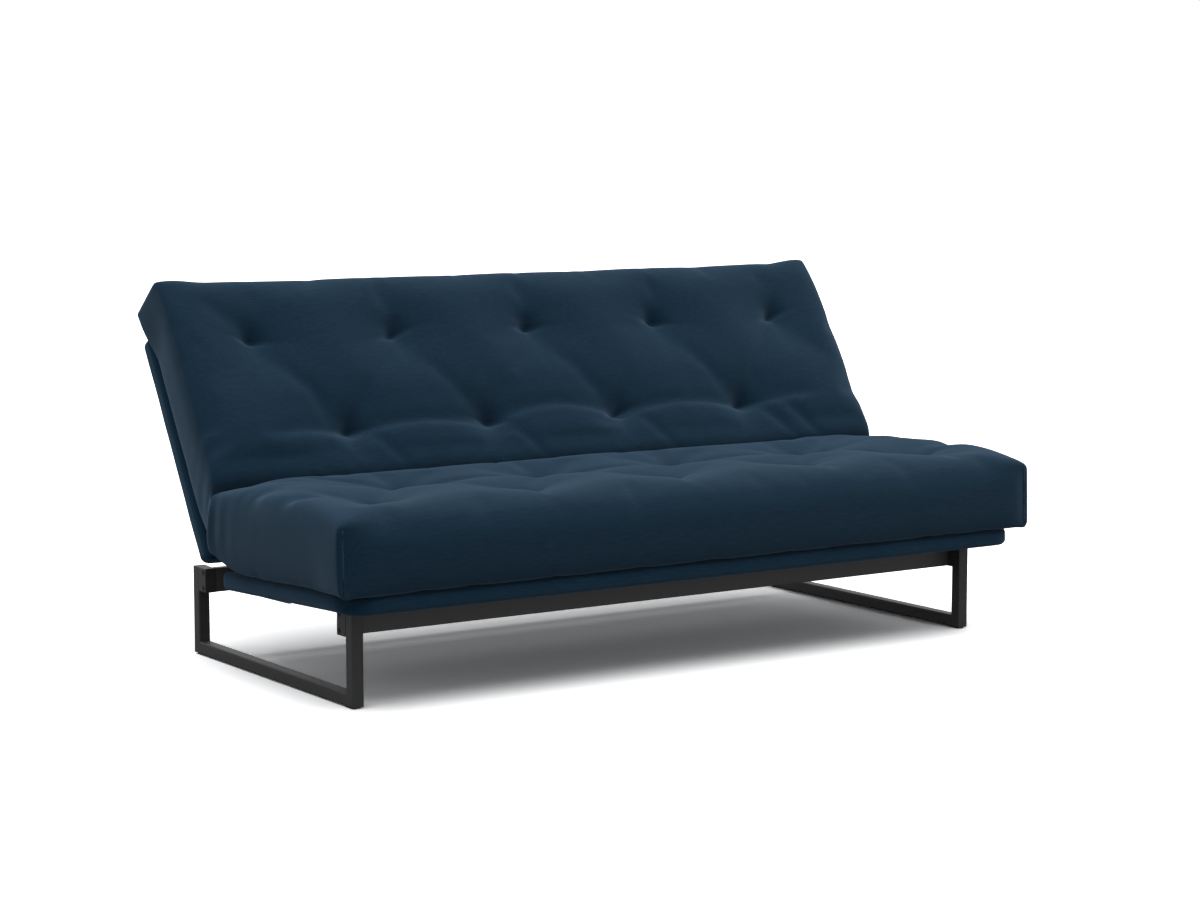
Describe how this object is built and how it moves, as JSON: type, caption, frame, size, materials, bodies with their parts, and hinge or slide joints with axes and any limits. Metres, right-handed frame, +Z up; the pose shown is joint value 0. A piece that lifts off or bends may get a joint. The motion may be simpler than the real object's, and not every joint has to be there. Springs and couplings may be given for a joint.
{
  "type": "futon sofa bed",
  "caption": "Futon sofa bed with a tufted folding mattress on two upholstered slatted decks, which swing down flat on a black steel base with sled legs.",
  "frame": {"origin": "on the floor under the middle of the outline, with the back upright", "axes": "+X along the sofa to the right as seen from the front, +Y to the rear, +Z up"},
  "size_m": [2, 1.0494, 0.9118],
  "materials": {
    "powder_coat": "black satin powder coat",
    "mechanism_steel": "black paint",
    "black_fastener": "black oxide",
    "zinc_steel": "zinc plated",
    "mattress_fabric": "ribbed dark blue weave",
    "deck_fabric": "ribbed dark blue weave",
    "dust_cloth": "black felt",
    "slat_wood": "clear lacquer",
    "core_felt": "felt wrapped springs",
    "glide_plastic": "matte",
    "black_nylon": "matte"
  },
  "bodies": {
    "base": {"right_leg_frame": "powder_coat", "left_leg_frame": "powder_coat", "front_rail": "powder_coat", "rear_rail": "powder_coat", "rail_end_plugs": "black_fastener", "rail_bolts": "black_fastener", "floor_glides": "glide_plastic", "front_rest_pads": "black_nylon", "rear_rest_pads": "black_nylon", "right_pivot_bracket": "mechanism_steel", "left_pivot_bracket": "mechanism_steel", "bracket_screws": "zinc_steel", "base_pivot_pins": "zinc_steel"},
    "swing_arms": {"right_swing_arm": "mechanism_steel", "left_swing_arm": "mechanism_steel", "swing_arm_bushes": "black_nylon", "sync_tube": "mechanism_steel"},
    "back": {"back_arm_screws": "zinc_steel", "back_deck_cover": "deck_fabric", "back_deck_frame": "mechanism_steel", "back_dust_cover": "dust_cloth", "back_mattress": "mattress_fabric", "back_runner_strips": "black_nylon", "back_slat_holders": "black_nylon", "back_slats": "slat_wood", "back_spring_core": "core_felt", "hinge_pins": "zinc_steel", "hinge_washers": "black_nylon", "left_back_hinge_arm": "mechanism_steel", "lug_pivot_pins": "zinc_steel", "right_back_hinge_arm": "mechanism_steel"},
    "seat": {"left_seat_hinge_arm": "mechanism_steel", "right_seat_hinge_arm": "mechanism_steel", "seat_arm_screws": "zinc_steel", "seat_deck_cover": "deck_fabric", "seat_deck_frame": "mechanism_steel", "seat_dust_cover": "dust_cloth", "seat_mattress": "mattress_fabric", "seat_runner_strips": "black_nylon", "seat_slat_holders": "black_nylon", "seat_slats": "slat_wood", "seat_spring_core": "core_felt"}
  },
  "joints": [
    {"name": "fold", "type": "hinge", "parent": "base", "child": "swing_arms", "pos_m": [0, 0.31948, 0.195], "axis": [1, 0, 0], "range_deg": [0, 75.69]},
    {"name": "back_pivot", "type": "hinge", "parent": "swing_arms", "child": "back", "pos_m": [0, 0.29674, 0.342], "axis": [-1, 0, 0], "range_deg": [0, 134.4]},
    {"name": "seat_hinge", "type": "hinge", "parent": "back", "child": "seat", "pos_m": [0, 0.17777, 0.22716], "axis": [1, 0, 0], "range_deg": [0, 61.41]}
  ],
  "couplings": [
    {"joint": "back_pivot", "follows": "fold", "ratio": 1.7755},
    {"joint": "seat_hinge", "follows": "fold", "ratio": 0.81117}
  ]
}
